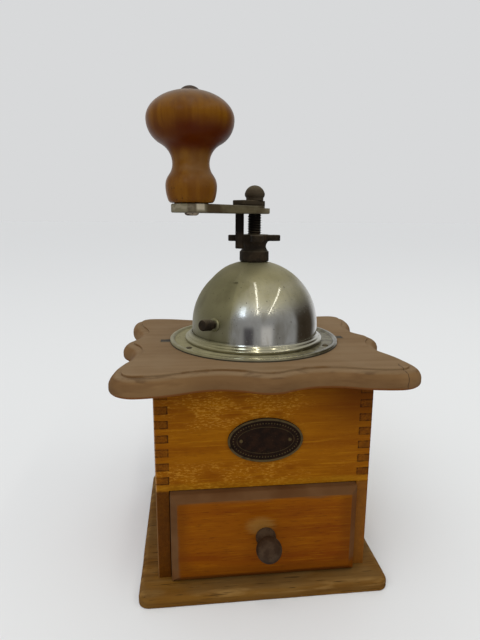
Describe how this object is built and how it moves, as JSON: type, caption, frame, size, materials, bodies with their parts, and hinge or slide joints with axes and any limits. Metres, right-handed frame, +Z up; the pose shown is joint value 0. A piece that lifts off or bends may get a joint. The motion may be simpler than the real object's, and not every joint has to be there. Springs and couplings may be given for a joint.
{
  "type": "hand crank coffee grinder",
  "caption": "Wooden box coffee mill with a scalloped top board, nickelled dome hopper with a sliding door, crank with a turned wooden handle, and a drawer for the ground coffee.",
  "frame": {"origin": "centre of the base board's underside, under the spindle", "axes": "+X to the right seen from the drawer side, +Y to the back, +Z up"},
  "size_m": [0.156, 0.1469, 0.2616],
  "materials": {
    "case_wood": "worn amber varnish",
    "board_wood": "dull, dusty",
    "base_wood": "dull varnish",
    "drawer_wood": "worn amber varnish",
    "handle_wood": "worn varnish",
    "knob_wood": "dark, worn",
    "nickel": "worn, pitted nickel",
    "badge": "dark, tarnished",
    "iron": "dark, rusted",
    "steel": "worn"
  },
  "bodies": {
    "mill_body": {"base_board": "base_wood", "base_screws": "steel", "left_wall": "case_wood", "right_wall": "case_wood", "back_wall": "case_wood", "front_panel": "case_wood", "badge_plate": "badge", "badge_pins": "badge", "top_board": "board_wood", "hopper_flange": "nickel", "flange_nails": "steel", "hopper_dome": "nickel", "bearing_bush": "iron", "bush_nut": "iron", "bearing_bridge": "iron", "bridge_screws": "steel", "burr_housing": "iron", "housing_screws": "steel", "outer_burr": "iron", "foot_bridge": "iron", "foot_bridge_screws": "steel", "spindle_spring": "steel"},
    "drawer": {"drawer_front": "drawer_wood", "drawer_left_side": "drawer_wood", "drawer_right_side": "drawer_wood", "drawer_back": "drawer_wood", "drawer_bottom": "drawer_wood", "drawer_knob": "knob_wood"},
    "hopper_door": {"hopper_door": "nickel", "door_rosette": "iron", "door_knob": "iron"},
    "spring_washer": {"spring_washer": "steel"},
    "crank": {"spindle": "steel", "spindle_pin": "steel", "cone_burr": "iron", "crank_arm": "steel", "arm_washer": "steel", "handle_pin": "steel", "handle_washer": "steel"},
    "adjusting_wheel": {"adjusting_wheel": "iron"},
    "handle": {"handle": "handle_wood"},
    "lock_clip": {"lock_clip": "iron"},
    "cap_nut": {"cap_nut": "iron"}
  },
  "joints": [
    {"name": "drawer_slide", "type": "slide", "parent": "mill_body", "child": "drawer", "axis": [0, -1, 0], "range_m": [0, 0.08]},
    {"name": "hopper_door_turn", "type": "hinge", "parent": "mill_body", "child": "hopper_door", "pos_m": [0, 0, 0.138], "axis": [0, 0, -1], "range_deg": [0, 74]},
    {"name": "grind_setting", "type": "slide", "parent": "mill_body", "child": "spring_washer", "axis": [0, 0, 1], "range_m": [0, 0.0012], "deforming": ["spindle_spring"]},
    {"name": "crank_turn", "type": "hinge", "parent": "spring_washer", "child": "crank", "pos_m": [0, 0, 0.138], "axis": [0, 0, 1], "continuous": true},
    {"name": "wheel_turn", "type": "hinge", "parent": "mill_body", "child": "adjusting_wheel", "pos_m": [0, 0, 0.187], "axis": [0, 0, 1], "continuous": true},
    {"name": "handle_spin", "type": "hinge", "parent": "crank", "child": "handle", "pos_m": [-0.03677, -0.03677, 0.23], "axis": [0, 0, 1], "continuous": true},
    {"name": "cap_nut_lift", "type": "slide", "parent": "crank", "child": "cap_nut", "axis": [0, 0, 1], "range_m": [0, 0.012]},
    {"name": "lock_clip_lift", "type": "slide", "parent": "crank", "child": "lock_clip", "axis": [0, 0, 1], "range_m": [0, 0.012]}
  ],
  "couplings": [
    {"joint": "wheel_turn", "follows": "crank_turn", "ratio": 1},
    {"joint": "lock_clip_lift", "follows": "cap_nut_lift", "ratio": 1}
  ]
}
